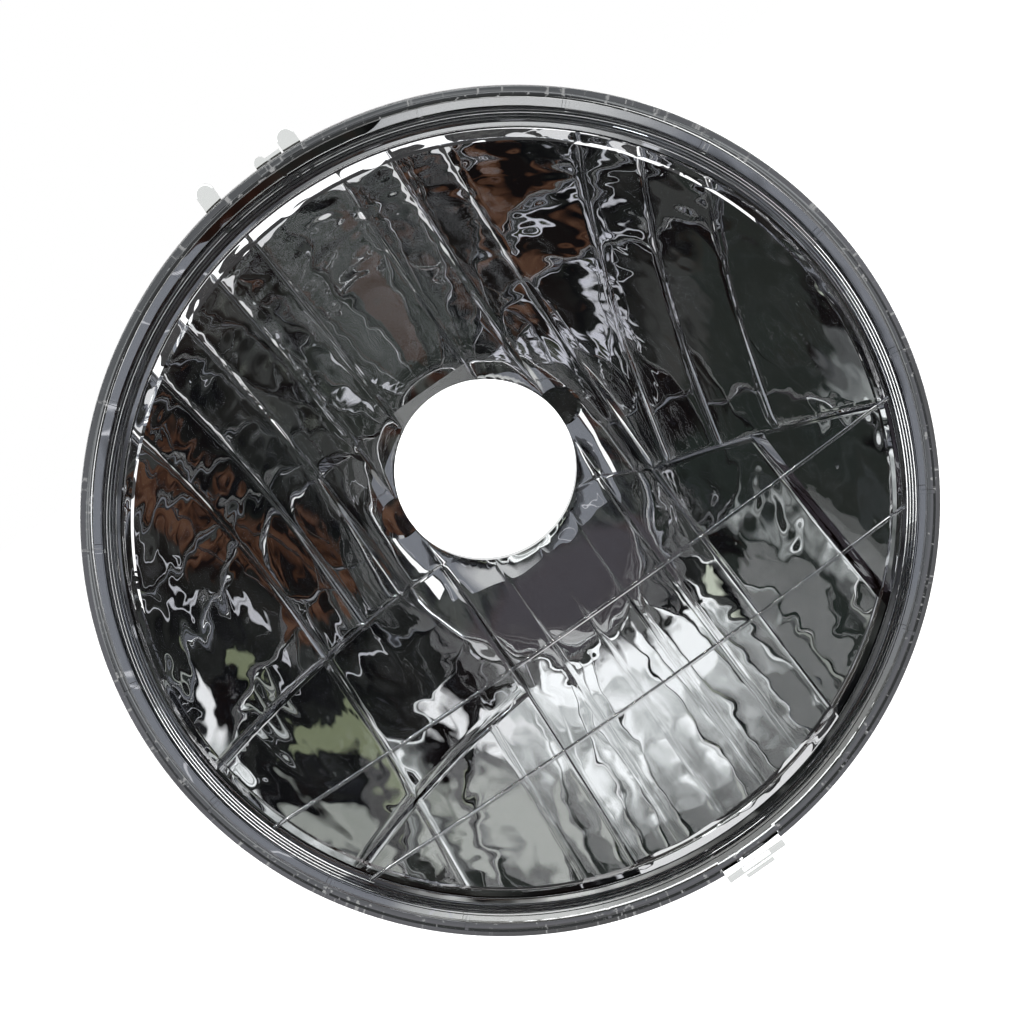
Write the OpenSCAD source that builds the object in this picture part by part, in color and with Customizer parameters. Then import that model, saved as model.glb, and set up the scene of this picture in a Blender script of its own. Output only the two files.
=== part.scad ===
// Round motorbike headlight unit: a clear lens bonded to a fluted, metallised reflector.
// The origin is the centre of the bulb opening. The lamp shines along -Y and +Z is up.

/* [Lens] */
// Radius of the lens over its rim
lens_r = 80; // [76:0.5:84]
// Width of the flange round the domed window
flange_w = 7.6; // [7.2:0.1:8.4]
// Height of the window's edge over the flange
window_step = 3; // [1:0.1:5]
// Rise of the dome over the window's edge
dome_rise = 6; // [3:0.1:12]
// Thickness of the window and of its side wall
lens_wall = 2.4; // [1.8:0.1:3]
// Thickness of the flange where it sits on the reflector
flange_t = 2.6; // [2:0.1:3.2]
// Depth of the outer land below the flange's face
land_drop = 1; // [0.5:0.1:1.6]
// Width of the outer land
land_w = 3.7; // [3.2:0.1:4]
// Depth of the rim's skirt from the flange's face
skirt_depth = 7; // [5.5:0.1:9]
// Thickness of the rim's skirt
skirt_t = 1.8; // [1.4:0.1:2]
// Width of the bead round the edge of the rim
bead_w = 1; // [0.6:0.1:1.2]
// Length of the tongue that is bonded into the reflector
tongue_depth = 8.2; // [6.5:0.1:8.8]
// Thickness of that tongue
tongue_t = 1.6; // [1:0.1:2]

/* [Lens details] */
// Height of the two straight ribs below the optical axis
rib_drops = [20.3, 39.1];
// Width of a straight rib
rib_w = 0.7; // [0.4:0.1:1.5]
// How far a straight rib stands proud of the dome
rib_h = 0.45; // [0.2:0.05:1]
// Number of fine rings on the flange
ring_count = 5; // [1:1:6]
// Distance from the window to the first fine ring
ring_inset = 1; // [0.8:0.1:1.3]
// Height of a fine ring
ring_h = 0.25; // [0.1:0.05:0.5]
// Number of small radial ribs on the outer land
tick_count = 18; // [6:1:36]
// Width of a small radial rib
tick_w = 0.7; // [0.4:0.1:1.5]
// Width of the locating block at the bottom of the rim
block_w = 12.8; // [9:0.1:18]
// How far that block stands out past the rim
block_out = 1.8; // [1:0.1:3]
// Width of the nib on the locating block
nib_w = 6.2; // [4:0.1:8]
// Width of a locating pin at the top of the rim
pin_w = 3.6; // [2.5:0.1:4.5]
// How far a locating pin stands out past the rim
pin_out = 3.6; // [2.5:0.1:5]
// Sideways places of the two locating pins
pin_places = [-11.9, 5.9];

/* [Bowl] */
// Distance from the bulb opening to the face of the lens flange
flange_z = 60; // [58:0.5:64]
// Focal length of the upper facets
focal_up = 21.4; // [21:0.1:22]
// Focal length of the lower flutes in the middle
focal_middle = 21.9; // [21.5:0.1:22.4]
// Focal length of the lower facets on the left
focal_left = 20.6; // [20:0.1:21.4]
// Focal length of the lowest facets on the left
focal_low_left = 20.1; // [19.5:0.1:21.4]
// Focal length of the wide lower facet on the right
focal_right = 19.6; // [19:0.1:21.4]
// Distance between two flute edges
flute_pitch = 9.5; // [9.2:0.1:9.8]
// Depth of a flute as a share of its width
flute_sag = 0.055; // [0.02:0.005:0.06]
// Half the width of the rounded edge between two flutes
edge_half = 0.3; // [0.2:0.05:0.4]
// Lean of the flutes in the upper right sector
sector_lean = 14; // [8:0.5:16]
// Distance between two leaning flute edges
sector_pitch = 10.4; // [10:0.1:10.7]
// Height of the long step where it crosses the middle
step_y = -13; // [-14:0.1:-12]
// Drop of that step for each millimetre to the right
step_fall = 0.098; // [0.05:0.001:0.12]
// Height of the lower left step where it would cross the middle
low_step_y = -40; // [-41:0.1:-38]
// Half the width of a step's sloping face
step_half = 0.5; // [0.3:0.05:0.8]

/* [Reflector body] */
// Radius of the bulb opening
bulb_r = 19.2; // [18:0.1:19.5]
// Thickness of the floor round the bulb opening
floor_t = 2.4; // [1.8:0.1:3]
// Wall of the bowl
bowl_wall = 2.6; // [2.2:0.1:3.5]
// Radius of the seat for the bulb's flange
seat_r = 21.8; // [21.5:0.1:22.5]
// Wall of the boot collar
collar_wall = 3.2; // [2.8:0.1:3.6]
// Length of the boot collar behind the bulb opening
collar_len = 11; // [8:0.5:16]
// Chamfer round the end of the collar
collar_chamfer = 0.6; // [0.3:0.1:1.2]
// How far the bowl's mouth lies inside the lens rim
mouth_inset = 8; // [7.7:0.1:8.8]
// How much narrower the mouth's wall is at its deep end
mouth_draft = 1.1; // [0.6:0.1:2]
// Depth of the mouth's wall
mouth_depth = 5.4; // [4:0.1:7]
// Width of the lip between the mouth and the bonding groove
lip_w = 1.4; // [1:0.1:1.6]
// Width of the bonding groove
groove_w = 2.8; // [2.6:0.1:3]
// Distance from the flange's face to the groove's floor
groove_depth = 9.5; // [9:0.1:12]
// Wall under and outside the groove
channel_wall = 1.6; // [1.2:0.1:1.8]
// Clearance between the reflector and the lens skirt
skirt_gap = 0.4; // [0.2:0.05:0.6]
// Depth of the sealant in the groove
sealant_h = 3.6; // [2:0.1:4.5]

/* [Hidden] */
$fn = 96;
eps = 0.01;

// Heights along the optical axis
lip_z = flange_z - flange_t;
groove_z = flange_z - groove_depth;
skirt_z = flange_z - skirt_depth;
land_z = flange_z - land_drop;
channel_z = groove_z - channel_wall;
under_land_z = land_z - flange_t;
wall_top_z = under_land_z - skirt_gap;

// Radii that follow from each other
window_r = lens_r - flange_w;
land_r = lens_r - land_w;
mouth_r = lens_r - mouth_inset;
mouth_back_r = mouth_r - mouth_draft;
ring_pitch = (flange_w - land_w - ring_inset - 0.7) / max(1, ring_count - 1);
groove_r = mouth_r + lip_w;
groove_end_r = groove_r + groove_w;
body_r = groove_end_r + channel_wall;
skirt_r = max(body_r + skirt_gap, lens_r - skirt_t);
tongue_r = groove_r + (groove_w - tongue_t) / 2;
window_in_r = window_r - lens_wall;
collar_r = seat_r + collar_wall;

// Edges of the facets, from left to right
p = flute_pitch;
sector_x = 3 * p + 3;
field_x = lens_r - 4;
upper_edges = concat(-field_x, [for (k = [-5:-1]) k * p], [for (k = [1:3]) k * p],
    [for (k = [0:2]) sector_x + k * sector_pitch], field_x);
lower_edges = concat(-field_x, -5 * p, [for (k = [-2:3]) k * p], 5 * p, field_x);
low_left_edges = concat(-field_x, -5 * p, [for (k = [-3:3]) k * p], 5 * p, field_x);
crease_y = 16.2;
crease_rise = -0.18;
crease_lift = 0.02;

// Grid that carries the optical surface
column_step = 2.5;
row_counts = [10, 8, 24];
field_cap = flange_z + 4;
field_top = flange_z + 8;
field_reach = 44;

// Height of the dome over its own edge, at radius r
function cap(edge_r, rise, r) =
    let (ball_r = (edge_r * edge_r + rise * rise) / (2 * rise))
    sqrt(ball_r * ball_r - r * r) - ball_r + rise;

// Points of a dome from the axis to its edge
function dome(edge_r, rise, z) =
    let (steps = 14)
    [for (i = [0:steps]) let (r = edge_r * i / steps) [r, z + cap(edge_r, rise, r)]];

function reversed(list) = [for (i = [len(list) - 1:-1:0]) list[i]];
function before(list, v) = max([for (e = list) if (e <= v) e]);
function after(list, v) = min([for (e = list) if (e > v) e]);
function paraboloid(focal, r) = (r * r - bulb_r * bulb_r) / (4 * focal);

// The long step between the upper and the lower facets: it kinks down between two flutes
function long_step(x) =
    let (kink = step_y - 2 * p * step_fall, low = kink - 3.4)
    x < 2 * p ? step_y - x * step_fall
    : x < 3 * p ? kink + (low - kink) * (x / p - 2)
    : low - (x - 3 * p) * step_fall;
function low_step(x) = low_step_y - 0.047 * x;

// The leaning flutes: column x at the long step moves sideways with height
function lean(x, y) =
    let (start = 3 * p, full = sector_x, last = sector_x + 2 * sector_pitch,
        share = x < start ? 0 : x < full ? (x - start) / (full - start)
            : x < last ? 1 : (field_x - x) / (field_x - last))
    x + share * tan(sector_lean) * max(0, y - long_step(3 * p));

function focal_of(x, y) =
    y > long_step(x) ? focal_up
    : x < -2 * p ? (y < low_step(x) ? focal_low_left : focal_left)
    : x < 3 * p ? focal_middle
    : x < 5 * p ? focal_right
    : focal_up;

function facet_edges(x, y) =
    y > long_step(x) ? upper_edges : y < low_step(x) ? low_left_edges : lower_edges;

// Height of the optical surface: a paraboloid of its own for each facet, hollowed across its width
function optic_z(x, y) =
    let (real_x = lean(x, y), r = norm([real_x, y]), inner_x = min(x, field_x - eps),
        a = before(facet_edges(x, y), inner_x), b = after(facet_edges(x, y), inner_x),
        u = (x - a) / (b - a), fade = min(1, max(0, (r - bulb_r) / 5)),
        hollow = flute_sag * min(b - a, 3 * p) * 4 * u * (1 - u) * fade,
        above = y - crease_y - crease_rise * x,
        crease = x < -3 * p && above > 0 ? crease_lift * above : 0)
    min(field_cap, max(0, paraboloid(focal_of(x, y), r) - hollow + crease));

// Columns stand close to each side of a flute edge, so that the edge stays crisp
function columns() =
    let (marks = [for (k = [-5:3]) k * p], leaning = [for (k = [0:2]) sector_x + k * sector_pitch],
        all = concat(-field_x, marks, leaning[0], leaning[1], 5 * p, leaning[2], field_x))
    [for (i = [0:len(all) - 2])
        let (a = all[i] + (i == 0 ? 0 : edge_half), b = all[i + 1] - (i == len(all) - 2 ? 0 : edge_half),
            n = ceil((b - a) / column_step))
        for (k = [0:n]) a + (b - a) * k / n];

function spread(from, to, n) = [for (k = [0:n - 1]) from + (to - from) * k / (n - 1)];

// Rows stop short of each step on both sides, so that its face slopes
function rows(x) =
    let (reach = max(sqrt(max(0, field_x * field_x - x * x)), field_reach),
        face = x > 3 * p && x < 5 * p ? 2 * step_half : step_half)
    concat(spread(-reach, low_step(x) - step_half, row_counts[0]),
        spread(low_step(x) + step_half, long_step(x) - face, row_counts[1]),
        spread(long_step(x) + face, reach, row_counts[2]));

// Everything in front of the optical surface, as one closed solid
module light_space() {
    xs = columns();
    grid = [for (x = xs) [for (y = rows(x)) [lean(x, y), y, optic_z(x, y)]]];
    n = len(xs);
    m = len(grid[0]);
    low = n * m;
    ends = low + 2 * n;
    last = m - 1;
    points = concat([for (column = grid) for (q = column) q],
        [for (column = grid) for (q = [column[0], column[last]]) [q[0], q[1], field_top]],
        [for (column = [grid[0], grid[n - 1]]) for (j = [1:last - 1]) [column[j][0], column[j][1], field_top]]);
    function at(i, j) = i * m + j;
    function top(i, j) = j == 0 ? low + 2 * i : j == last ? low + 2 * i + 1
        : ends + (i == 0 ? 0 : m - 2) + j - 1;
    faces = concat(
        [for (i = [0:n - 2]) for (j = [0:last - 1]) [at(i, j), at(i + 1, j), at(i + 1, j + 1)]],
        [for (i = [0:n - 2]) for (j = [0:last - 1]) [at(i, j), at(i + 1, j + 1), at(i, j + 1)]],
        [for (i = [0:n - 2]) [at(i, 0), top(i, 0), top(i + 1, 0), at(i + 1, 0)]],
        [for (i = [0:n - 2]) [at(i, last), at(i + 1, last), top(i + 1, last), top(i, last)]],
        [for (j = [0:last - 1]) [at(0, j), at(0, j + 1), top(0, j + 1), top(0, j)]],
        [for (j = [0:last - 1]) [at(n - 1, j + 1), at(n - 1, j), top(n - 1, j), top(n - 1, j + 1)]],
        [for (i = [1:n - 3]) [top(i, 0), top(i, last), top(i + 1, last), top(i + 1, 0)]],
        [concat(top(1, 0), [for (j = [0:last]) top(0, j)], top(1, last))],
        [concat(top(n - 2, last), [for (j = [last:-1:0]) top(n - 1, j)], top(n - 2, 0))]);
    polyhedron(points, faces, convexity = 8);
}

// The lamp is drawn with its axis upright and then laid to face forward
module facing_forward() {
    rotate([90, 0, 0]) children();
}

module ring(inner_r, outer_r, z, h) {
    translate([0, 0, z]) difference() {
        cylinder(r = outer_r, h = h);
        translate([0, 0, -1]) cylinder(r = inner_r, h = h + 2);
    }
}

// Clear moulding: domed window, stepped flange, skirt and bonding tongue
module lens_shell() {
    ring_start = window_r + ring_inset;
    rings = [for (i = [0:ring_count - 1]) let (r = ring_start + i * ring_pitch)
        each [[r, flange_z], [r + 0.1, flange_z + ring_h], [r + 0.3, flange_z + ring_h],
            [r + 0.4, flange_z]]];
    window_z = flange_z + window_step;
    outside = concat(dome(window_r, dome_rise, window_z), [[window_r + 0.3, flange_z]], rings,
        [[land_r - 0.2, flange_z], [land_r, land_z], [lens_r - bead_w - 0.3, land_z],
        [lens_r - bead_w, flange_z - 0.3], [lens_r - 0.4, flange_z - 0.3], [lens_r, flange_z - 0.7],
        [lens_r, skirt_z]]);
    tongue_end_r = tongue_r + tongue_t;
    inside = [[skirt_r, skirt_z], [skirt_r, under_land_z], [tongue_end_r, under_land_z],
        [tongue_end_r, flange_z - tongue_depth], [tongue_r, flange_z - tongue_depth],
        [tongue_r, lip_z], [window_in_r + 0.4, lip_z]];
    rotate_extrude() polygon(concat(outside, inside,
        reversed(dome(window_in_r, dome_rise, window_z - lens_wall))));
}

// Two straight ribs that follow the outside of the dome
module window_ribs() {
    window_z = flange_z + window_step;
    intersection() {
        rotate_extrude() polygon(concat(dome(window_r, dome_rise, window_z + rib_h),
            [[window_r, window_z - 1]], reversed(dome(window_r, dome_rise, window_z - 1))));
        for (drop = rib_drops)
            translate([-window_r, -drop - rib_w / 2, flange_z])
                cube([2 * window_r, rib_w, window_step + dome_rise + 2]);
    }
}

module radial_ticks() {
    for (i = [0:tick_count - 1])
        rotate([0, 0, i * 360 / tick_count - 1.5])
            translate([-tick_w / 2, land_r - 0.1, land_z - 0.2])
                cube([tick_w, lens_r - bead_w - land_r, land_drop - 0.1]);
}

// Locating block with its nib at the bottom of the rim
module locating_block() {
    root = lens_r - 2 * skirt_t / 3;
    translate([-block_w / 2, -lens_r - block_out, skirt_z])
        cube([block_w, lens_r + block_out - root, skirt_depth - land_drop]);
    translate([-nib_w / 2, -lens_r - 2 * block_out, skirt_z + 1])
        cube([nib_w, 2 * block_out, skirt_depth - land_drop - 2.5]);
    intersection() {
        ring(window_r, lens_r, land_z - 0.5, land_drop + 0.5 + ring_h + 0.1);
        translate([-block_w / 2, -lens_r, land_z - 0.5]) cube([block_w, lens_r, 5]);
    }
}

// Two round-nosed pins and a low key plate at the top of the rim
module locating_pins() {
    tall = 3;
    root = lens_r - skirt_t - 2;
    tip = lens_r + pin_out - pin_w / 2;
    plate_w = 5.4;
    difference() {
        union() {
            for (x = pin_places) translate([x, 0, skirt_z]) {
                translate([-pin_w / 2, root, 0]) cube([pin_w, tip - root, tall]);
                translate([0, tip, 0]) cylinder(d = pin_w, h = tall);
            }
            translate([1 - plate_w / 2, root, skirt_z]) cube([plate_w, lens_r + 0.9 - root, tall - 1]);
            translate([-0.5, lens_r + 0.7, skirt_z]) cylinder(r = 1.1, h = tall - 1);
        }
        translate([0, 0, skirt_z - 1]) cylinder(r = skirt_r + 0.3, h = tall + 2);
    }
}

module lens() {
    color([0.86, 0.9, 0.9, 0.45]) facing_forward() {
        lens_shell();
        window_ribs();
        radial_ticks();
        locating_block();
        locating_pins();
    }
}

// Outside of the bowl: the upper paraboloid moved out by the wall
function bowl_back(r) =
    let (slope = atan(r / (2 * focal_up)))
    [r + bowl_wall * sin(slope), paraboloid(focal_up, r) - bowl_wall * cos(slope)];

// The moulding without its hollows: collar, bowl and bonding channel
module reflector_body() {
    steps = 26;
    start = collar_r - bowl_wall * 0.5;
    back = [for (i = [0:steps]) bowl_back(start + (mouth_r - start) * i / steps)];
    curve = [for (q = back) if (q[1] < channel_z - 0.2 && q[0] > collar_r + 0.2) q];
    chamfer = 0.8;
    rotate_extrude() polygon(concat(
        [[0, -floor_t], [seat_r, -floor_t], [seat_r, -collar_len],
        [collar_r - collar_chamfer, -collar_len], [collar_r, collar_chamfer - collar_len],
        [collar_r, curve[0][1] - 0.4]],
        curve,
        [[body_r - chamfer, channel_z], [body_r, channel_z + chamfer], [body_r, wall_top_z],
        [groove_r + groove_w / 2, wall_top_z], [groove_r + groove_w / 2, lip_z], [0, lip_z]]));
}

// The bowl's hollow ends in a plain drafted wall at the mouth
module bowl_hollow() {
    deep = lip_z - mouth_depth;
    intersection() {
        rotate_extrude() polygon([[0, -eps], [mouth_back_r, -eps], [mouth_back_r, deep],
            [mouth_r, lip_z], [mouth_r, flange_z + 1], [0, flange_z + 1]]);
        light_space();
    }
}

// Shallow pockets beside and above the bulb opening
module opening_pockets() {
    sink = 0.3;
    for (side = [-1, 1])
        translate([side * (bulb_r + 0.8), 2.2, -sink]) cylinder(r1 = 4.1, r2 = 4.9, h = 4);
    translate([-p + 0.4, 0, -sink]) cube([2 * p - 0.8, bulb_r + 2.2, 4]);
}

// Slots in the collar that key the bulb's flange
module key_slots() {
    widths = [8.4, 6.4, 6.4];
    turns = [0, 120, 240];
    for (i = [0:2])
        rotate([0, 0, turns[i]])
            translate([-widths[i] / 2, seat_r - 3, -collar_len - 1])
                cube([widths[i], 4.2, collar_len - floor_t + 0.6]);
}

module reflector() {
    color("silver") facing_forward() difference() {
        reflector_body();
        bowl_hollow();
        opening_pockets();
        key_slots();
        translate([0, 0, -floor_t - 1]) cylinder(r = bulb_r, h = floor_t + 2);
        ring(groove_r, groove_end_r, groove_z, groove_depth);
    }
}

// Sealant that holds the tongue in the groove
module sealant() {
    color([0.12, 0.12, 0.13]) facing_forward() difference() {
        ring(groove_r, groove_end_r, groove_z, sealant_h);
        ring(tongue_r, tongue_r + tongue_t, flange_z - tongue_depth, tongue_depth);
    }
}

lens();
reflector();
sealant();
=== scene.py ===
import bmesh
import bpy
import math
import numpy as np
from mathutils import Matrix, Vector


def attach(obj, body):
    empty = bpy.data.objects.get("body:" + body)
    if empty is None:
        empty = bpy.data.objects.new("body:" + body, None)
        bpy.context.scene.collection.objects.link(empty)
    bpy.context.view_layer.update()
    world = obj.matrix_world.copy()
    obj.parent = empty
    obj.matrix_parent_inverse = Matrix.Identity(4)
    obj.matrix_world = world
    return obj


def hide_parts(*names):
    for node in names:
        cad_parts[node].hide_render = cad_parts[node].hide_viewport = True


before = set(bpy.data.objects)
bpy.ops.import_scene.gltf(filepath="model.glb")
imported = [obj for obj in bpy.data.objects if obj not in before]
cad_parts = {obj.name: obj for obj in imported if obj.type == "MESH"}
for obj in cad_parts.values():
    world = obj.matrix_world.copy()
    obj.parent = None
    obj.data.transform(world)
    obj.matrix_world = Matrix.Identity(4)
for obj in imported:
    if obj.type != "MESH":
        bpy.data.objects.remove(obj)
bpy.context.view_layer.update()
scene = bpy.context.scene

# ---------------------------------------------------------------- Optical face of the reflector
# The metallised face inside the bowl: upright hollow flutes, each on a paraboloid of its own,
# with a long kinked step, a lower left step and a plain floor round the bulb opening.
# Sizes are in millimetres in the lamp's own axes: x to the right, y up, z forward to the lens.
# It is part of the reflector moulding, which is cut with it further down.
OPENING = 19.2
FLANGE = 60.0
LIP = 57.4
FIELD = 76.0
PITCH = 9.5
SECTOR = 3 * PITCH + 3
SECTOR_PITCH = 10.4
SECTOR_LEAN = math.tan(math.radians(14))
UPPER_FOCAL = 21.4
LEFT_FOCAL, LOW_LEFT_FOCAL = 20.6, 20.1
MIDDLE_FOCAL = 21.9
RIGHT_FOCAL = 19.6
UPPER_SAG, LOWER_SAG = 0.03, 0.012
RIDGE_REACH, RIDGE_RISE = 0.45, 0.09
STEP_REACH, STEP_RISE = 0.5, 0.12
STEP_START, STEP_FALL, STEP_KINK = -13, 0.098, 3.4
CREASE_HEIGHT, CREASE_FALL, CREASE_SLOPE = 16.2, 0.18, 0.02
UPPER_EDGES = np.array([-FIELD] + [k * PITCH for k in (-5, -4, -3, -2, -1, 1, 2, 3)]
                       + [SECTOR + k * SECTOR_PITCH for k in range(3)] + [FIELD])
LOWER_EDGES = np.array([-FIELD] + [k * PITCH for k in (-5, -2, -1, 0, 1, 2, 3, 5)] + [FIELD])
LOW_LEFT_EDGES = np.array([-FIELD] + [k * PITCH for k in (-5, -3, -2, -1, 0, 1, 2, 3, 5)] + [FIELD])


def long_step(x):
    """Height of the step between the upper and the lower facets. It falls to the right and
    drops faster across one flute."""
    kink = STEP_START - 2 * PITCH * STEP_FALL
    low = kink - STEP_KINK
    before = STEP_START - x * STEP_FALL
    across = kink + (low - kink) * (x / PITCH - 2)
    after = low - (x - 3 * PITCH) * STEP_FALL
    return np.where(x < 2 * PITCH, before, np.where(x < 3 * PITCH, across, after))


def low_step(x):
    """Height of the lower left step."""
    return -40 - 0.047 * x


def leaned(x, y):
    """Where a point of the upright flutes lies, once those of the upper right lean outwards."""
    last = SECTOR + 2 * SECTOR_PITCH
    share = np.where(x < 3 * PITCH, 0.0, np.where(x < SECTOR, (x - 3 * PITCH) / 3,
                     np.where(x < last, 1.0, (FIELD - x) / (FIELD - last))))
    return x + share * SECTOR_LEAN * np.maximum(0, y - long_step(3 * PITCH + 0 * y))


def optic_height(x, y):
    """Height of the optical face over the bulb opening."""
    real_x = leaned(x, y)
    r = np.hypot(real_x, y)
    upper, lowest = y > long_step(x), y < low_step(x)
    left = np.where(lowest, LOW_LEFT_FOCAL, LEFT_FOCAL)
    right = np.where(x < 5 * PITCH, RIGHT_FOCAL, UPPER_FOCAL)
    lower = np.where(x < -2 * PITCH, left, np.where(x < 3 * PITCH, MIDDLE_FOCAL, right))
    focal = np.where(upper, UPPER_FOCAL, lower)
    inner = np.clip(x, -FIELD + 1e-6, FIELD - 1e-6)
    a, b = np.zeros_like(x), np.zeros_like(x)
    for edges, where in ((UPPER_EDGES, upper), (LOWER_EDGES, ~upper & ~lowest), (LOW_LEFT_EDGES, ~upper & lowest)):
        i = np.searchsorted(edges, inner, side="right") - 1
        a, b = np.where(where, edges[i], a), np.where(where, edges[i + 1], b)
    u = (inner - a) / (b - a)
    fade = np.clip((r - OPENING) / 5, 0, 1)
    sag = np.where(upper, UPPER_SAG, LOWER_SAG) * np.minimum(b - a, 3 * PITCH)
    hollow = sag * (1 - np.abs(2 * u - 1) ** 3) * fade
    from_ridge = np.minimum(inner - a, b - inner) / RIDGE_REACH
    bead = RIDGE_RISE * np.maximum(0, 1 - from_ridge ** 2) * fade * (np.abs(inner) < FIELD - 1)
    for step in (long_step(x), np.where(x < -2 * PITCH, low_step(x), 99)):
        from_step = (y - step) / STEP_REACH
        bead = np.maximum(bead, STEP_RISE * np.maximum(0, 1 - from_step ** 2) * fade)
    above = y - CREASE_HEIGHT + CREASE_FALL * x
    crease = np.where((x < -3 * PITCH) & (above > 0), CREASE_SLOPE * above, 0)
    z = (r * r - OPENING ** 2) / (4 * focal) - hollow + bead + crease
    return np.clip(z, 0, FLANGE + 4)


def solid(name, points, faces):
    """A mesh object from points in the lamp's axes, in millimetres."""
    points = np.asarray(points, float)
    world = np.stack([points[:, 0], -points[:, 2], points[:, 1]], 1) / 1000
    mesh = bpy.data.meshes.new(name)
    mesh.from_pydata(world.tolist(), [], faces)
    mesh.update()
    piece = bpy.data.objects.new(name, mesh)
    scene.collection.objects.link(piece)
    return piece


def lathe(name, profile, around=288):
    """A closed turned solid from (radius, height) points; a profile on the axis is closed there."""
    turn = np.linspace(0, 2 * math.pi, around, endpoint=False)
    points, rows = [], []
    for r, z in profile:
        if r < 1e-6:
            rows.append([len(points)] * around)
            points.append((0, 0, z))
        else:
            rows.append(list(range(len(points), len(points) + around)))
            points.extend(zip(r * np.cos(turn), r * np.sin(turn), [z] * around))
    faces = []
    for j in range(len(rows)):
        low, high = rows[j], rows[(j + 1) % len(rows)]
        for i in range(around):
            k = (i + 1) % around
            corners = list(dict.fromkeys([low[i], low[k], high[k], high[i]]))
            if len(corners) > 2:
                faces.append(corners)
    return solid(name, points, faces)


def block(name, low, high):
    """A plain box between two corners."""
    (x0, y0, z0), (x1, y1, z1) = low, high
    points = [(x, y, z) for z in (z0, z1) for y in (y0, y1) for x in (x0, x1)]
    return solid(name, points, [(0, 2, 3, 1), (4, 5, 7, 6), (0, 1, 5, 4), (2, 6, 7, 3), (0, 4, 6, 2), (1, 3, 7, 5)])


def face_outwards(piece):
    """Turns every face of a closed mesh outwards."""
    work = bmesh.new()
    work.from_mesh(piece.data)
    bmesh.ops.recalc_face_normals(work, faces=work.faces)
    work.to_mesh(piece.data)
    work.free()
    return piece


def join_shapes(piece, tool, way):
    """Cuts tool out of piece, keeps what they share, or moulds the two together."""
    for shape in (piece, tool):
        face_outwards(shape)
    change = piece.modifiers.new("shape", "BOOLEAN")
    change.operation = way
    change.solver = "MANIFOLD"
    change.object = tool
    bpy.context.view_layer.update()
    ready = piece.evaluated_get(bpy.context.evaluated_depsgraph_get())
    mesh = bpy.data.meshes.new_from_object(ready)
    piece.modifiers.clear()
    piece.data = mesh
    bpy.data.objects.remove(tool)
    return piece


def optic_columns():
    """Where the mesh of the optical face has its columns: close together at each ridge."""
    marks = [-FIELD] + [k * PITCH for k in range(-5, 4)] \
        + [SECTOR, SECTOR + SECTOR_PITCH, 5 * PITCH, SECTOR + 2 * SECTOR_PITCH, FIELD]
    xs = []
    for a, b in zip(marks[:-1], marks[1:]):
        across = np.linspace(a + RIDGE_REACH, b - RIDGE_REACH, int((b - a) / 0.7) + 2)
        xs.extend([a, a + RIDGE_REACH / 2, *across, b - RIDGE_REACH / 2])
    return np.array(xs + [FIELD])


def optic_rows(x):
    """Where a column of that mesh has its points: close together at both steps."""
    reach = max(math.sqrt(max(0, FIELD ** 2 - x * x)), 44)
    low, high = float(low_step(x)), float(long_step(np.array(x)))
    edge = np.array([-1, -0.5, 0, 0.5]) * STEP_REACH
    return np.concatenate([np.linspace(-reach, low - STEP_REACH - 0.5, 35), low + edge,
                           np.linspace(low + STEP_REACH, high - STEP_REACH - 0.5, 28), high + edge,
                           np.linspace(high + STEP_REACH, reach, 92)])


def light_space():
    """Everything in front of the optical face, as one closed solid."""
    xs = optic_columns()
    ys = np.stack([optic_rows(x) for x in xs])
    grid_x = np.repeat(xs[:, None], ys.shape[1], 1)
    z = optic_height(grid_x, ys)
    real_x = leaned(grid_x, ys)
    n, m = z.shape
    low = np.stack([real_x, ys, z], -1).reshape(-1, 3)
    high = np.stack([real_x, ys, np.full_like(z, FLANGE + 8)], -1).reshape(-1, 3)
    faces = []
    for i in range(n - 1):
        for j in range(m - 1):
            a, b, c, d = i * m + j, (i + 1) * m + j, (i + 1) * m + j + 1, i * m + j + 1
            faces.append((a, b, c, d))
            faces.append((n * m + d, n * m + c, n * m + b, n * m + a))
    edge = [j for j in range(m)] + [i * m + m - 1 for i in range(1, n)] \
        + [(n - 1) * m + j for j in range(m - 2, -1, -1)] + [i * m for i in range(n - 2, 0, -1)]
    for a, b in zip(edge, edge[1:] + edge[:1]):
        faces.append((a, b, n * m + b, n * m + a))
    return solid("light_space", np.concatenate([low, high]), faces)


# ---------------------------------------------------------------- Reflector moulding
# One moulding in grey thermoset compound: collar for the rubber boot, bowl and bonding channel.
# The face inside the bowl, the lip and the channel are metallised; the back stays grey.
WALL = 2.6
FLOOR = 2.4
SEAT = 21.8
COLLAR = 25.0
COLLAR_END = -11.0
MOUTH = 72.0
MOUTH_BACK = MOUTH - 1.1
GROOVE = 73.4
GROOVE_END = 76.2
GROOVE_FLOOR = 50.5
BODY = 77.8
CHANNEL = GROOVE_FLOOR - 1.6
WALL_TOP = FLANGE - 1 - 2.6 - 0.4


def bowl_back(r):
    """A point of the bowl's outer skin, one wall thickness behind the optical face."""
    slope = math.atan(r / (2 * UPPER_FOCAL))
    return r + WALL * math.sin(slope), (r * r - OPENING ** 2) / (4 * UPPER_FOCAL) - WALL * math.cos(slope)


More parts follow.
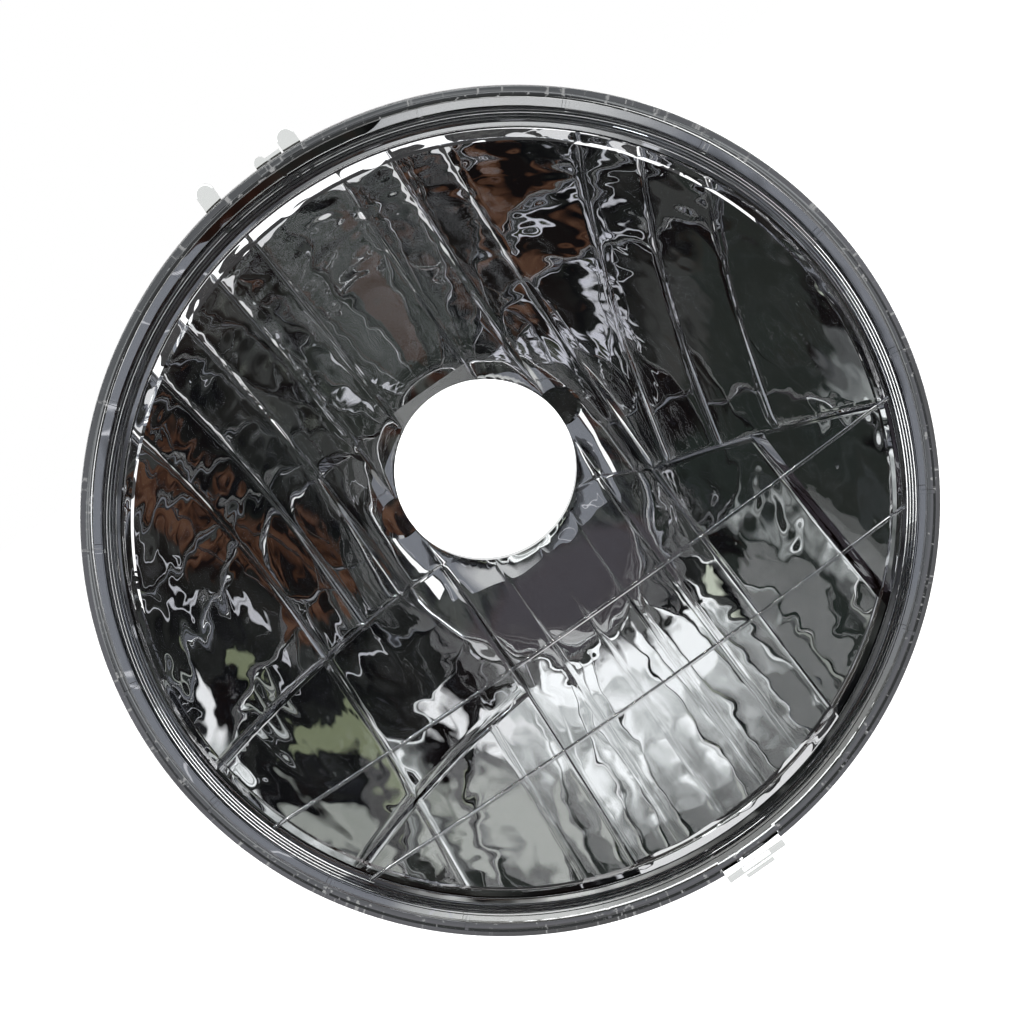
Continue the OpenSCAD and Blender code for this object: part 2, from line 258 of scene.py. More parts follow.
start = COLLAR - WALL * 0.5
curve = [bowl_back(start + (MOUTH - start) * i / 60) for i in range(61)]
curve = [q for q in curve if q[1] < CHANNEL - 0.2 and q[0] > COLLAR + 0.2]
body_profile = [(0, -FLOOR), (SEAT, -FLOOR), (SEAT, COLLAR_END), (COLLAR - 0.6, COLLAR_END),
                (COLLAR, COLLAR_END + 0.6), (COLLAR, curve[0][1] - 0.4)] + curve \
    + [(BODY - 0.8, CHANNEL), (BODY, CHANNEL + 0.8), (BODY, WALL_TOP), (GROOVE_END - 1.4, WALL_TOP),
       (GROOVE_END - 1.4, LIP), (0, LIP)]
reflector = lathe("reflector_moulding", body_profile)
mouth = lathe("mouth", [(0, -0.01), (MOUTH_BACK, -0.01), (MOUTH_BACK, LIP - 5.4), (MOUTH, LIP),
                        (MOUTH, FLANGE + 1), (0, FLANGE + 1)])
hollow = join_shapes(mouth, light_space(), "INTERSECT")
join_shapes(reflector, hollow, "DIFFERENCE")
join_shapes(reflector, lathe("opening", [(0, -FLOOR - 1), (OPENING, -FLOOR - 1), (OPENING, 1), (0, 1)]), "DIFFERENCE")
groove = lathe("groove", [(GROOVE, GROOVE_FLOOR), (GROOVE_END, GROOVE_FLOOR), (GROOVE_END, FLANGE), (GROOVE, FLANGE)])
join_shapes(reflector, groove, "DIFFERENCE")
for side in (-1, 1):
    pocket = lathe("pocket", [(0, -0.3), (4.1, -0.3), (4.9, 3.7), (0, 3.7)], 64)
    pocket.data.transform(Matrix.Translation((side * (OPENING + 0.8) / 1000, 0, 2.2 / 1000)))
    join_shapes(reflector, pocket, "DIFFERENCE")
join_shapes(reflector, block("pocket", (-PITCH + 0.4, 0, -0.3), (PITCH - 0.4, OPENING + 2.2, 3.7)), "DIFFERENCE")
for width, turn in ((8.4, 0), (6.4, 120), (6.4, 240)):
    slot = block("slot", (-width / 2, SEAT - 3, COLLAR_END - 1), (width / 2, SEAT + 1.2, -FLOOR - 0.4))
    slot.data.transform(Matrix.Rotation(math.radians(-turn), 4, "Y"))
    join_shapes(reflector, slot, "DIFFERENCE")
reflector.data.name = "reflector_moulding"


class Socket:
    """A shader socket that takes part in sums, so that masks read as plain maths."""

    def __init__(self, tree, link):
        self.tree, self.link = tree, link

    def maths(self, operation, *values):
        return self.tree.node("ShaderNodeMath", {"operation": operation}, {i: v for i, v in enumerate(values)})

    def __add__(self, other): return self.maths("ADD", self, other)
    def __radd__(self, other): return self.maths("ADD", other, self)
    def __sub__(self, other): return self.maths("SUBTRACT", self, other)
    def __mul__(self, other): return self.maths("MULTIPLY", self, other)
    def __truediv__(self, other): return self.maths("DIVIDE", self, other)
    def __lt__(self, other): return self.maths("LESS_THAN", self, other)
    def __gt__(self, other): return self.maths("GREATER_THAN", self, other)


class Finish:
    """A material, or the world, and its nodes. The light of a material's glow is found by mirrors
    alone and not sampled as a lamp is, which keeps the render short."""

    def __init__(self, name, owner=None):
        self.owner = owner or bpy.data.materials.new(name)
        if owner is None:
            self.owner.cycles.emission_sampling = "NONE"
        self.owner.use_nodes = True
        self.nodes = self.owner.node_tree.nodes
        self.links = self.owner.node_tree.links
        self.nodes.clear()

    def node(self, kind, settings=None, inputs=None, out=0):
        """Any node, with its settings, its inputs by name or number, and one of its outputs."""
        made = self.nodes.new(kind)
        for key, value in (settings or {}).items():
            if key == "stops":
                while len(made.color_ramp.elements) < len(value):
                    made.color_ramp.elements.new(0.5)
                for stop, (place, colour) in zip(made.color_ramp.elements, value):
                    stop.position, stop.color = place, (*colour, 1)
            else:
                setattr(made, key, value)
        for key, value in (inputs or {}).items():
            if isinstance(value, Socket):
                self.links.new(value.link, made.inputs[key])
            else:
                made.inputs[key].default_value = value
        return Socket(self, made.outputs[out])

    def finish(self, surface, kind="ShaderNodeOutputMaterial"):
        output = self.nodes.new(kind)
        self.links.new(surface.link, output.inputs["Surface"])
        return self.owner


def metallising():
    """Bright aluminium film, which shows the slight waves of the moulding under it."""
    f = Finish("metallising")
    place = f.node("ShaderNodeTexCoord", out="Object")
    stretched = f.node("ShaderNodeMapping", {}, {"Vector": place, "Scale": (1, 1, 0.5)})
    wave = f.node("ShaderNodeTexNoise", {}, {"Vector": stretched, "Scale": 110.0, "Detail": 1.0, "Roughness": 0.3})
    ripple = f.node("ShaderNodeTexNoise", {}, {"Vector": place, "Scale": 260.0, "Detail": 0.0})
    bump = f.node("ShaderNodeBump", {}, {"Height": wave + ripple * 0.15, "Strength": 1.0, "Distance": 0.0002})
    return f.finish(f.node("ShaderNodeBsdfPrincipled", {}, {"Base Color": (0.86, 0.86, 0.87, 1), "Metallic": 1.0,
                                                            "Roughness": 0.003, "Normal": bump}))


def moulding_grey():
    """Dark grey thermoset compound: flow marks that run out from the collar, pale fibre specks
    and a fine matt grain."""
    f = Finish("moulding_grey")
    place = f.node("ShaderNodeTexCoord", out="Object")
    across, along, up = (f.node("ShaderNodeSeparateXYZ", {}, {"Vector": place}, out=i) for i in range(3))
    round_axis = up.maths("ARCTAN2", up, across)
    square = across * across + up * up
    polar = f.node("ShaderNodeCombineXYZ", {}, {"X": round_axis * 1.6, "Y": square.maths("SQRT", square) * 9,
                                                "Z": along * 9})
    flow = f.node("ShaderNodeTexNoise", {}, {"Vector": polar, "Scale": 5.0, "Detail": 5.0, "Roughness": 0.62,
                                             "Distortion": 0.8})
    grain = f.node("ShaderNodeTexNoise", {}, {"Vector": place, "Scale": 1800.0, "Detail": 2.0})
    speck = f.node("ShaderNodeTexNoise", {}, {"Vector": place, "Scale": 700.0, "Detail": 0.0})
    colour = f.node("ShaderNodeValToRGB", {"stops": [(0.3, (0.05, 0.05, 0.053)), (0.5, (0.075, 0.074, 0.076)),
                                                     (0.72, (0.105, 0.102, 0.1))]}, {"Fac": flow})
    pale = f.node("ShaderNodeMapRange", {}, {"Value": speck, "From Min": 0.7, "From Max": 0.76, "To Max": 0.5})
    specked = f.node("ShaderNodeMix", {"data_type": "RGBA"}, {0: pale, 6: colour, 7: (0.22, 0.22, 0.21, 1)}, out=2)
    bump = f.node("ShaderNodeBump", {}, {"Height": grain + flow * 0.6, "Strength": 0.5, "Distance": 0.0003})
    grey = f.node("ShaderNodeBsdfPrincipled", {}, {"Base Color": specked, "Roughness": 0.5 + (flow - 0.5) * 0.3,
                                                   "Normal": bump})
    return f.finish(grey)


def dress(piece, *finishes):
    piece.data.materials.clear()
    for finish in finishes:
        piece.data.materials.append(finish)


# The face inside the bowl looks forward or inwards and gets the film; the rest stays grey.
dress(reflector, metallising(), moulding_grey())
mesh = reflector.data
count = len(mesh.polygons)
centre = np.zeros(count * 3)
normal = np.zeros(count * 3)
mesh.polygons.foreach_get("center", centre)
mesh.polygons.foreach_get("normal", normal)
centre = centre.reshape(-1, 3) * 1000
normal = normal.reshape(-1, 3)
radius = np.hypot(centre[:, 0], centre[:, 2])
inward = -(centre[:, 0] * normal[:, 0] + centre[:, 2] * normal[:, 2]) / np.maximum(radius, 1e-6)
bright = (normal[:, 1] < -0.05) | ((inward > 0.5) & (-centre[:, 1] > -1.5))
mesh.polygons.foreach_set("material_index", np.where(bright, 0, 1).astype(np.int32))
mesh.shade_smooth()
mesh.set_sharp_from_angle(angle=math.radians(17))
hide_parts("reflector")
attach(reflector, "root")

# ---------------------------------------------------------------- Lens
# One clear polycarbonate moulding: a domed window with two ribs, a stepped flange with fine rings,
# a skirt, locating pins and block, and the tongue that is bonded into the reflector's channel.
# A film of air keeps it off the sealant and the lip, because touching faces would render black.
RIM = 80.0
WINDOW = 72.4
WINDOW_STEP = 3.0
DOME_RISE = 6.0
LENS_WALL = 2.4
LAND = 76.3
LAND_Z = FLANGE - 1
SKIRT_Z = FLANGE - 7
SKIRT_IN = 78.2
UNDER_LAND_Z = LAND_Z - 2.6
TONGUE, TONGUE_THICK = 74.0, 1.6
TONGUE_Z = FLANGE - 8.2
FILM = 0.04
RING_COUNT, RING_PITCH = 5, 0.55


def cap(edge, r):
    """Height of the dome over its edge, at a distance from the axis."""
    ball = (edge * edge + DOME_RISE ** 2) / (2 * DOME_RISE)
    return math.sqrt(ball * ball - r * r) - ball + DOME_RISE


def dome(edge, z, steps=40):
    return [(edge * i / steps, z + cap(edge, edge * i / steps)) for i in range(steps + 1)]


window_z = FLANGE + WINDOW_STEP
rings = []
for i in range(RING_COUNT):
    r = WINDOW + 1 + i * RING_PITCH
    rings += [(r, FLANGE), (r + 0.1, FLANGE + 0.25), (r + 0.3, FLANGE + 0.25), (r + 0.4, FLANGE)]
outside = dome(WINDOW, window_z) + [(WINDOW + 0.15, window_z - 0.3), (WINDOW + 0.3, FLANGE)] + rings \
    + [(LAND - 0.2, FLANGE), (LAND, LAND_Z), (RIM - 1.3, LAND_Z), (RIM - 1, FLANGE - 0.3),
       (RIM - 0.4, FLANGE - 0.3), (RIM - 0.15, FLANGE - 0.4), (RIM, FLANGE - 0.7), (RIM, SKIRT_Z)]
inside_edge = WINDOW - LENS_WALL
tongue_out = TONGUE + TONGUE_THICK - FILM
inside = [(SKIRT_IN, SKIRT_Z), (SKIRT_IN, UNDER_LAND_Z), (tongue_out, UNDER_LAND_Z), (tongue_out, TONGUE_Z + FILM),
          (TONGUE + FILM, TONGUE_Z + FILM), (TONGUE + FILM, LIP + FILM), (inside_edge + 0.4, LIP + FILM)]
lens = lathe("lens_moulding", outside + inside + dome(inside_edge, window_z - LENS_WALL)[::-1], 360)


def window_rib(height, reach):
    """A straight rib with a round top that follows the dome."""
    half = 0.4
    across = [(-half, -0.5), (half, -0.5)] + [(half * math.cos(t), 0.05 + half * math.sin(t))
                                              for t in np.radians(np.linspace(0, 180, 11))]
    xs = np.linspace(reach[0], reach[1], 100)
    points, faces = [], []
    for x in xs:
        for dy, dz in across:
            y = height + dy
            points.append((x, y, window_z + cap(WINDOW, min(math.hypot(x, y), WINDOW)) + dz))
    n = len(across)
    for i in range(len(xs) - 1):
        for j in range(n):
            a, b = i * n + j, i * n + (j + 1) % n
            faces.append((a, b, b + n, a + n))
    faces += [tuple(range(n)), tuple(range((len(xs) - 1) * n, len(xs) * n))]
    return solid("rib", points, faces)


for drop in (20.3, 39.1):
    side = math.sqrt(WINDOW ** 2 - drop ** 2) - 0.2
    join_shapes(lens, window_rib(-drop, (-side, side)), "UNION")
# Small webs stand across the land all the way round.
for i in range(18):
    tick = block("tick", (-0.35, LAND - 0.1, LAND_Z - 0.2), (0.35, RIM - 1.1, LAND_Z + 0.7))
    tick.data.transform(Matrix.Rotation(-math.radians(i * 20 - 1.5), 4, "Y"))
    join_shapes(lens, tick, "UNION")
# The locating block and its nib at the bottom, and the key plate with two pins at the top.
root = RIM - 1.2
join_shapes(lens, block("locating_block", (-6.4, -RIM - 1.8, SKIRT_Z), (6.4, -root, LAND_Z)), "UNION")
join_shapes(lens, block("nib", (-3.1, -RIM - 3.6, SKIRT_Z + 1), (3.1, -RIM, SKIRT_Z + 4.5)), "UNION")
pins = block("key_plate", (-1.7, RIM - 3.8, SKIRT_Z), (3.7, RIM + 0.9, SKIRT_Z + 2))
bud = lathe("bud", [(0, SKIRT_Z), (1.1, SKIRT_Z), (1.1, SKIRT_Z + 2), (0, SKIRT_Z + 2)], 32)
bud.data.transform(Matrix.Translation((-0.5 / 1000, 0, (RIM + 0.7) / 1000)))
join_shapes(pins, bud, "UNION")
for x in (-11.9, 5.9):
    pin = lathe("pin", [(0, SKIRT_Z), (1.8, SKIRT_Z), (1.8, SKIRT_Z + 2.8), (1.6, SKIRT_Z + 3), (0, SKIRT_Z + 3)], 48)
    pin.data.transform(Matrix.Translation((x / 1000, 0, (RIM + 1.8) / 1000)))
    join_shapes(pin, block("stem", (x - 1.8, RIM - 3.8, SKIRT_Z), (x + 1.8, RIM + 1.8, SKIRT_Z + 3)), "UNION")
    join_shapes(pins, pin, "UNION")
clear_of_body = lathe("clear", [(0, SKIRT_Z - 1), (SKIRT_IN + 0.3, SKIRT_Z - 1), (SKIRT_IN + 0.3, SKIRT_Z + 4),
                                (0, SKIRT_Z + 4)])
join_shapes(pins, clear_of_body, "DIFFERENCE")
join_shapes(lens, pins, "UNION")
lens.data.name = "lens_moulding"


def clear_plastic():
    """Clear polycarbonate, a little greyer in the pins and blocks that stand out of the rim."""
    f = Finish("clear_plastic")
    place = f.node("ShaderNodeTexCoord", out="Object")
    across, _, up = (f.node("ShaderNodeSeparateXYZ", {}, {"Vector": place}, out=i) for i in range(3))
    outside = across * across + up * up > 0.0802 * 0.0802
    tone = f.node("ShaderNodeMix", {"data_type": "RGBA"}, {0: outside, 6: (0.97, 0.98, 0.98, 1),
                                                           7: (0.78, 0.8, 0.79, 1)}, out=2)
    return f.finish(f.node("ShaderNodeBsdfPrincipled", {}, {"Base Color": tone, "Roughness": 0.003, "IOR": 1.58,
                                                            "Transmission Weight": 1.0}))


dress(lens, clear_plastic())
lens.data.shade_smooth()
lens.data.set_sharp_from_angle(angle=math.radians(28))
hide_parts("lens")
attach(lens, "root")


# ---------------------------------------------------------------- Sealant
# The bead in the bonding channel that holds the lens: grey, soft and slightly glossy. Its shape is
# the CAD node's own.
def sealant_rubber():
    """Grey sealant with small lumps."""
    f = Finish("sealant_rubber")
    place = f.node("ShaderNodeTexCoord", out="Object")
    lumps = f.node("ShaderNodeTexNoise", {}, {"Vector": place, "Scale": 300.0, "Detail": 3.0})
    colour = f.node("ShaderNodeValToRGB", {"stops": [(0.3, (0.5, 0.51, 0.54)), (0.7, (0.66, 0.67, 0.7))]},
                    {"Fac": lumps})
    bump = f.node("ShaderNodeBump", {}, {"Height": lumps, "Strength": 0.5, "Distance": 0.0003})
    return f.finish(f.node("ShaderNodeBsdfPrincipled", {}, {"Base Color": colour, "Roughness": 0.35, "Normal": bump}))


dress(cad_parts["sealant"], sealant_rubber())

# ---------------------------------------------------------------- Floor, room and light
# A white floor below the lamp, a dark room in front of it that only mirrors and glass see,
# and soft panels that give the bright parts of the reflections.


def floor_white():
    """White, with a little light of its own for mirrors, glass and the camera, so that only shadows show."""
    f = Finish("floor_white")
    rays = [f.node("ShaderNodeLightPath", out=ray) for ray in ("Is Camera Ray", "Is Glossy Ray", "Is Transmission Ray")]
    white = f.node("ShaderNodeBsdfDiffuse", {}, {"Color": (0.9, 0.9, 0.9, 1)})
    glow_white = f.node("ShaderNodeEmission", {}, {"Color": (1, 1, 1, 1), "Strength": (rays[0] + rays[1] + rays[2]) * 0.8})
    return f.finish(f.node("ShaderNodeAddShader", {}, {0: white, 1: glow_white}))


FLOOR_HALF, FLOOR_LEVEL = 3000, -260
floor = solid("floor", [(-FLOOR_HALF, FLOOR_LEVEL, 0), (FLOOR_HALF, FLOOR_LEVEL, 0),
                        (FLOOR_HALF, FLOOR_LEVEL, -FLOOR_HALF), (-FLOOR_HALF, FLOOR_LEVEL, -FLOOR_HALF)],
              [(0, 1, 2, 3)])
dress(floor, floor_white())


def room_wall():
    """The room in front of the lamp: near black with brown and grey patches, pale grey blue
    beside the lamp and plain grey violet high up."""
    f = Finish("room_wall")
    place = f.node("ShaderNodeTexCoord", out="Object")
    patches = f.node("ShaderNodeTexNoise", {}, {"Vector": place, "Scale": 3.6, "Detail": 3.0, "Roughness": 0.6})
    tint = f.node("ShaderNodeTexNoise", {}, {"Vector": place, "Scale": 1.7, "Detail": 1.0})
    brown = f.node("ShaderNodeValToRGB", {"stops": [(0.42, (0.004, 0.004, 0.004)), (0.5, (0.03, 0.012, 0.008)),
                                                    (0.6, (0.05, 0.024, 0.017))]}, {"Fac": patches})
    grey = f.node("ShaderNodeValToRGB", {"stops": [(0.42, (0.005, 0.005, 0.005)), (0.5, (0.02, 0.022, 0.02)),
                                                   (0.6, (0.07, 0.075, 0.068))]}, {"Fac": patches})
    split = f.node("ShaderNodeValToRGB", {"stops": [(0.47, (0, 0, 0)), (0.53, (1, 1, 1))]}, {"Fac": tint})
    low = f.node("ShaderNodeMix", {"data_type": "RGBA"}, {0: split, 6: brown, 7: grey}, out=2)
    height = f.node("ShaderNodeSeparateXYZ", {}, {"Vector": place}, out=2)
    depth = f.node("ShaderNodeSeparateXYZ", {}, {"Vector": place}, out=1)
    beside = f.node("ShaderNodeMapRange", {}, {"Value": depth, "From Min": -0.62, "From Max": -0.48})
    around = f.node("ShaderNodeMix", {"data_type": "RGBA"}, {0: beside, 6: low, 7: (0.36, 0.38, 0.43, 1)}, out=2)
    high = f.node("ShaderNodeMapRange", {}, {"Value": height, "From Min": 0.72, "From Max": 0.86})
    colour = f.node("ShaderNodeMix", {"data_type": "RGBA"}, {0: high, 6: around, 7: (0.062, 0.054, 0.062, 1)}, out=2)
    return f.finish(f.node("ShaderNodeEmission", {}, {"Color": colour, "Strength": 1.0}))


def hide_from(thing, *rays):
    for ray in rays:
        setattr(thing, "visible_" + ray, False)


# The room is a dome in front of the lamp that ends a little behind it.
ROOM, AROUND, LEVELS = 1300, 96, 32
room_points, room_faces = [(0, 0, ROOM)], []
for level in np.radians(np.linspace(4, 96, LEVELS)):
    room_points.extend([(ROOM * math.sin(level) * math.cos(t), ROOM * math.sin(level) * math.sin(t),
                         ROOM * math.cos(level)) for t in np.linspace(0, 2 * math.pi, AROUND, endpoint=False)])
for i in range(AROUND):
    k = (i + 1) % AROUND
    room_faces.append((0, 1 + i, 1 + k))
    for j in range(LEVELS - 1):
        near, far = 1 + j * AROUND, 1 + (j + 1) * AROUND
        room_faces.append((near + i, far + i, far + k, near + k))
room = solid("room", room_points, room_faces)
dress(room, room_wall())
hide_from(room, "camera", "diffuse", "shadow")


def glow(name, colour, strength):
    """Plain light of one colour."""
    f = Finish(name)
    return f.finish(f.node("ShaderNodeEmission", {}, {"Color": (*colour, 1), "Strength": strength}))


def sheet(name, corners, finish, *hidden):
    """A flat sheet of the stage that only mirrors and glass see."""
    made = solid(name, corners, [(0, 1, 2, 3)])
    dress(made, finish)
    hide_from(made, "camera", "diffuse", "shadow", *hidden)
    return made


def panel(name, azimuth, height, width, tall, finish, *hidden, away=1.2):
    """A soft panel in the room, facing the lamp. Azimuth is to the right of the axis, height above it."""
    a, e = math.radians(azimuth), math.radians(height)
    forward = np.array([math.sin(a) * math.cos(e), math.sin(e), math.cos(a) * math.cos(e)])
    right = np.cross(np.array([0, 1.0, 0]), forward)
    right /= np.linalg.norm(right)
    up = np.cross(forward, right)
    middle = forward * away * 1000
    corners = [middle + right * sx * width / 2 + up * sy * tall / 2 for sx, sy in ((-1, -1), (1, -1), (1, 1), (-1, 1))]
    return sheet(name, corners, finish, *hidden)


# Light that comes out of the bowl has gone through the lens's two faces twice.
OUT_OF_BOWL = 3.5


def painted_reflection_card():
    """The card in front of the window, which only light out of the bowl meets, painted with the reflections
    that the bowl and its lip show: a painted pale sky low on the reflector, painted dark ground with brown and grey,
    light outlines and a few light shapes."""
    f = Finish("painted_reflection_card")
    place = f.node("ShaderNodeTexCoord", out="Object")
    across, _, up = (f.node("ShaderNodeSeparateXYZ", {}, {"Vector": place}, out=i) for i in range(3))
    sway = f.node("ShaderNodeTexNoise", {}, {"Vector": place, "Scale": 45.0, "Detail": 1.0}) - 0.5
    lift = f.node("ShaderNodeTexNoise", {}, {"Vector": place, "Scale": 38.0, "Detail": 1.0, "Distortion": 0.6}) - 0.5
    x, y = across * 1000 + sway * 16, up * 1000 + lift * 16
    cloud = f.node("ShaderNodeTexNoise", {}, {"Vector": place, "Scale": 55.0, "Detail": 2.0})

    def patch(middle, reach, soft):
        dx, dy = (x - middle[0]) / reach[0], (y - middle[1]) / reach[1]
        away = (dx * dx + dy * dy).maths("SQRT", dx * dx + dy * dy)
        return f.node("ShaderNodeMapRange", {}, {"Value": away, "From Min": 1 + soft, "From Max": 1 - soft})

    def over(under, colour, mask):
        return f.node("ShaderNodeMix", {"data_type": "RGBA"}, {0: mask, 6: under, 7: colour}, out=2)

    ground = f.node("ShaderNodeValToRGB", {"stops": [(0.42, (0.004, 0.004, 0.005)), (0.48, (0.013, 0.014, 0.013)),
                                                     (0.56, (0.02, 0.021, 0.02)), (0.61, (0.055, 0.058, 0.055))]}, {"Fac": cloud})
    mottle = f.node("ShaderNodeTexNoise", {}, {"Vector": place, "Scale": 130.0, "Detail": 2.0})
    brown = f.node("ShaderNodeValToRGB", {"stops": [(0.43, (0.008, 0.006, 0.006)), (0.5, (0.06, 0.028, 0.017)),
                                                    (0.62, (0.13, 0.066, 0.04))]}, {"Fac": mottle})
    level = f.node("ShaderNodeMapping", {}, {"Vector": place, "Scale": (0.3, 1, 1)})
    haze = f.node("ShaderNodeTexNoise", {}, {"Vector": level, "Scale": 90.0, "Detail": 1.0})
    sky = f.node("ShaderNodeValToRGB", {"stops": [(0.32, (0.12, 0.125, 0.125)), (0.4, (0.38, 0.4, 0.39)),
                                                  (0.48, (0.8, 0.83, 0.82)), (0.56, (1.5, 1.52, 1.52))]},
                 {"Fac": haze * 0.9 + (y - 37) * 0.014})
    # Painted reflections for the lip and the rim: grey, with painted highlight patches.
    edge = over((0.24, 0.25, 0.28, 1), (0.07, 0.072, 0.08, 1), patch((0, -12), (85, 82), 0.015))
    edge = over(edge, (0.7, 0.7, 0.7, 1), patch((48, 62), (34, 26), 0.4))
    edge = over(edge, (0.3, 0.3, 0.29, 1), patch((0, -100), (60, 30), 0.3))
    edge = over(edge, (0.8, 0.8, 0.78, 1), patch((-48, -82), (26, 20), 0.4))
    # Painted reflections on the bowl's face: dark ground, brown and grey patches, light outline streaks, light flame
    # shapes with dark cores, the pale sky low down and small bright spots.
    painted_reflection_picture = over(edge, ground, patch((0, -12), (79, 76), 0.03))
    painted_reflection_picture = over(painted_reflection_picture, brown, patch((-26, -33), (19, 15), 0.1))
    painted_reflection_picture = over(painted_reflection_picture, brown, patch((46, -8), (11, 11), 0.1))
    painted_reflection_picture = over(painted_reflection_picture, (0.04, 0.046, 0.04, 1), patch((8, -58), (30, 12), 0.15) * 0.85)
    painted_reflection_picture = over(painted_reflection_picture, (0.06, 0.035, 0.025, 1), patch((-5, -56), (3, 9), 0.2))
    drawn = f.node("ShaderNodeTexNoise", {}, {"Vector": place, "Scale": 42.0, "Detail": 0.0, "Distortion": 0.4})
    outline = f.node("ShaderNodeMapRange", {}, {"Value": drawn.maths("ABSOLUTE", drawn - 0.66), "From Min": 0.01,
                                                "From Max": 0.004})
    painted_reflection_picture = over(painted_reflection_picture, (0.7, 0.7, 0.74, 1), outline)
    for middle, wide, tall in (((-42, -49), 4, 6), ((-47, -31), 4.5, 8), ((-44, -15), 3.5, 5)):
        painted_reflection_picture = over(painted_reflection_picture, (0.8, 0.8, 0.88, 1), patch(middle, (wide, tall), 0.1))
        core = patch((middle[0], middle[1] - 1), (wide * 0.45, tall * 0.6), 0.2)
        painted_reflection_picture = over(painted_reflection_picture, (0.03, 0.034, 0.02, 1), core)
    painted_reflection_picture = over(painted_reflection_picture, sky, patch((4, 41), (27, 18), 0.07))
    painted_reflection_picture = over(painted_reflection_picture, (0.42, 0.44, 0.4, 1), patch((11, 22), (9, 6.5), 0.15))
    painted_reflection_picture = over(painted_reflection_picture, (1.3, 1.3, 1.3, 1), patch((29, 31), (6, 5), 0.25))
    painted_reflection_picture = over(painted_reflection_picture, (0.026, 0.032, 0.028, 1), patch((-25, 18), (27, 12.5), 0.1))
    painted_reflection_picture = over(painted_reflection_picture, (0.8, 0.85, 0.7, 1), patch((-28, 38), (3, 3), 0.3))
    painted_reflection_picture = over(painted_reflection_picture, (0.25, 0.28, 0.17, 1), patch((32, 16), (5, 2.2), 0.2))
    depth = f.node("ShaderNodeLightPath", out="Transmission Depth")
    return f.finish(f.node("ShaderNodeEmission", {}, {"Color": painted_reflection_picture, "Strength": depth > OUT_OF_BOWL}))


def bowl_glow(name, strength):
    """A plain white panel that only light out of the bowl meets."""
    f = Finish(name)
    depth = f.node("ShaderNodeLightPath", out="Transmission Depth")
    return f.finish(f.node("ShaderNodeEmission", {}, {"Color": (1, 1, 1, 1),
                                                      "Strength": (depth > OUT_OF_BOWL) * strength}))


def strip_light():
    """A bright strip, dimmer for light that has been inside the lens."""
    f = Finish("strip_light")
    depth = f.node("ShaderNodeLightPath", out="Transmission Depth")
    return f.finish(f.node("ShaderNodeEmission", {}, {"Color": (1, 1, 1, 1), "Strength": 0.5 + (depth < 0.5) * 60}))


# The card is a painted reflection: only rays that have come out of the bowl see it.
CARD_HALF, CARD_LOW, CARD_HIGH, CARD_Z = 105, -110, 72, 120
sheet("card", [(-CARD_HALF, CARD_LOW, CARD_Z), (CARD_HALF, CARD_LOW, CARD_Z), (CARD_HALF, CARD_HIGH, CARD_Z),
               (-CARD_HALF, CARD_HIGH, CARD_Z)], painted_reflection_card(), "glossy")
side_light = bowl_glow("side_light", 1.6)
panel("window_side_left", -50, 5, 90, 700, side_light, "glossy")
panel("window_side_right", 50, 5, 90, 700, side_light, "glossy")
panel("strip_top", -10, 66, 900, 60, strip_light())
panel("strip_side", 62, 25, 60, 500, glow("strip_soft", (0.9, 0.95, 1.0), 4.0))

# A ring behind the rim that only light through the lens sees: painted shade, with a painted highlight line and painted
# glints, which darkens what the clear skirt shows of the floor and the sky.
RING_IN, RING_OUT, RING_Z, RING_PARTS = 77.9, 80.3, SKIRT_Z - 0.3, 128
ring_points = [(r * math.cos(t), r * math.sin(t), RING_Z) for r in (RING_IN, RING_OUT)
               for t in np.linspace(0, 2 * math.pi, RING_PARTS, endpoint=False)]
painted_shade_ring = solid("painted_shade_ring", ring_points, [(i, (i + 1) % RING_PARTS, RING_PARTS + (i + 1) % RING_PARTS, RING_PARTS + i)
                                             for i in range(RING_PARTS)])


def ring_painted_shade_and_glints():
    """Painted shade in dark grey, with a painted highlight line and small painted glints all the way round."""
    f = Finish("ring_painted_shade_and_glints")
    place = f.node("ShaderNodeTexCoord", out="Object")
    across, _, up = (f.node("ShaderNodeSeparateXYZ", {}, {"Vector": place}, out=i) for i in range(3))
    square = across * across + up * up
    radius = square.maths("SQRT", square)
    fleck = f.node("ShaderNodeTexNoise", {}, {"Vector": place, "Scale": 900.0, "Detail": 2.0})
    drift = f.node("ShaderNodeTexNoise", {}, {"Vector": place, "Scale": 25.0, "Detail": 1.0})
    # Painted shade in bands, with a painted highlight line a little way out from the inner edge.
    painted_shade_bands = f.node("ShaderNodeValToRGB", {"stops": [(0.0, (0.03, 0.032, 0.03)), (0.28, (0.05, 0.052, 0.055)),
                                                    (0.36, (0.34, 0.35, 0.36)), (0.44, (0.1, 0.105, 0.11)),
                                                    (0.8, (0.15, 0.15, 0.165)), (1.0, (0.05, 0.05, 0.04))]},
                   {"Fac": (radius - RING_IN / 1000) * 420 + (drift - 0.5) * 0.25})
    # Painted glints: small light flecks.
    painted_glint_mask = f.node("ShaderNodeMapRange", {}, {"Value": fleck, "From Min": 0.63, "From Max": 0.7})
    colour = f.node("ShaderNodeMix", {"data_type": "RGBA"}, {0: painted_glint_mask, 6: painted_shade_bands, 7: (0.4, 0.4, 0.4, 1)}, out=2)
    return f.finish(f.node("ShaderNodeEmission", {}, {"Color": colour, "Strength": 1.0}))


dress(painted_shade_ring, ring_painted_shade_and_glints())
hide_from(painted_shade_ring, "camera", "diffuse", "glossy", "shadow")

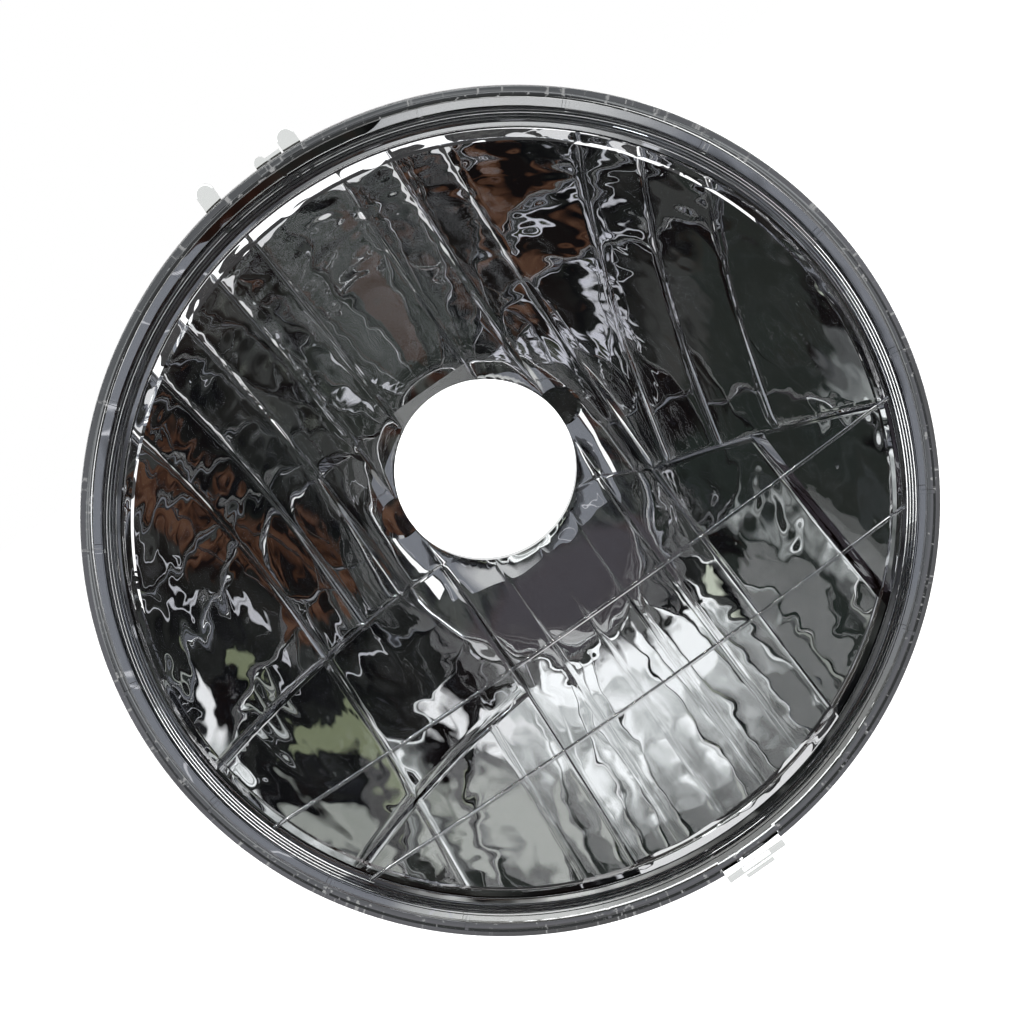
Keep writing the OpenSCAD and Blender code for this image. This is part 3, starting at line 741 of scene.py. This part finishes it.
# Soft square lamps from above, from the left and from behind, which mirrors and glass don't show.
for name, place, size, power in (("light_top", (0.2, -0.9, 1.5), 1.2, 14), ("light_left", (-1.5, -0.4, 0.6), 1.0, 8),
                                 ("light_back", (0.5, 1.5, 0.9), 1.0, 10)):
    lamp = bpy.data.lights.new(name, "AREA")
    lamp.shape, lamp.size, lamp.energy = "SQUARE", size, power
    holder = bpy.data.objects.new(name, lamp)
    scene.collection.objects.link(holder)
    holder.location = place
    holder.rotation_euler = (Vector((0, -0.03, 0)) - Vector(place)).to_track_quat("-Z", "Y").to_euler()
    hide_from(holder, "glossy", "transmission", "camera")

# White all round for the camera, mirrors and glass, and softer as light on plain faces.
scene.world = bpy.data.worlds.new("studio")
sky = Finish("studio", scene.world)
camera_ray = sky.node("ShaderNodeLightPath", out="Is Camera Ray")
glossy_ray = sky.node("ShaderNodeLightPath", out="Is Glossy Ray")
clear_ray = sky.node("ShaderNodeLightPath", out="Is Transmission Ray")
seen_rays = camera_ray + glossy_ray + clear_ray
shown = seen_rays.maths("MINIMUM", seen_rays, 1.0)
strength = 0.45 + shown * 0.55
sky.finish(sky.node("ShaderNodeBackground", {}, {"Color": (1, 1, 1, 1), "Strength": strength}), "ShaderNodeOutputWorld")

scene.view_settings.view_transform = "Standard"
scene.cycles.max_bounces = 12
scene.cycles.glossy_bounces = 6
scene.cycles.transmission_bounces = 10
scene.cycles.transparent_max_bounces = 4

# ---------------------------------------------------------------- Camera
# The photograph's view: nearly straight on, a little from above, and turned 35 degrees about the
# line of sight. Place and turn come from a pinhole camera fitted to the rim, the opening and the flutes.
camera_data = bpy.data.cameras.new("camera")
camera_data.sensor_width = 36
camera_data.lens = 84.2
camera_data.shift_x, camera_data.shift_y = 0.069, -0.098
camera = bpy.data.objects.new("camera", camera_data)
scene.collection.objects.link(camera)
right, up, forward = (0.81822, -0.07859, -0.56951), (0.57470, 0.13827, 0.80660), (-0.01535, 0.98727, -0.15830)
camera.matrix_world = Matrix(((right[0], up[0], -forward[0], 0.00711), (right[1], up[1], -forward[1], -0.49280),
                              (right[2], up[2], -forward[2], 0.09437), (0, 0, 0, 1)))
scene.camera = camera

bpy.context.view_layer.update()
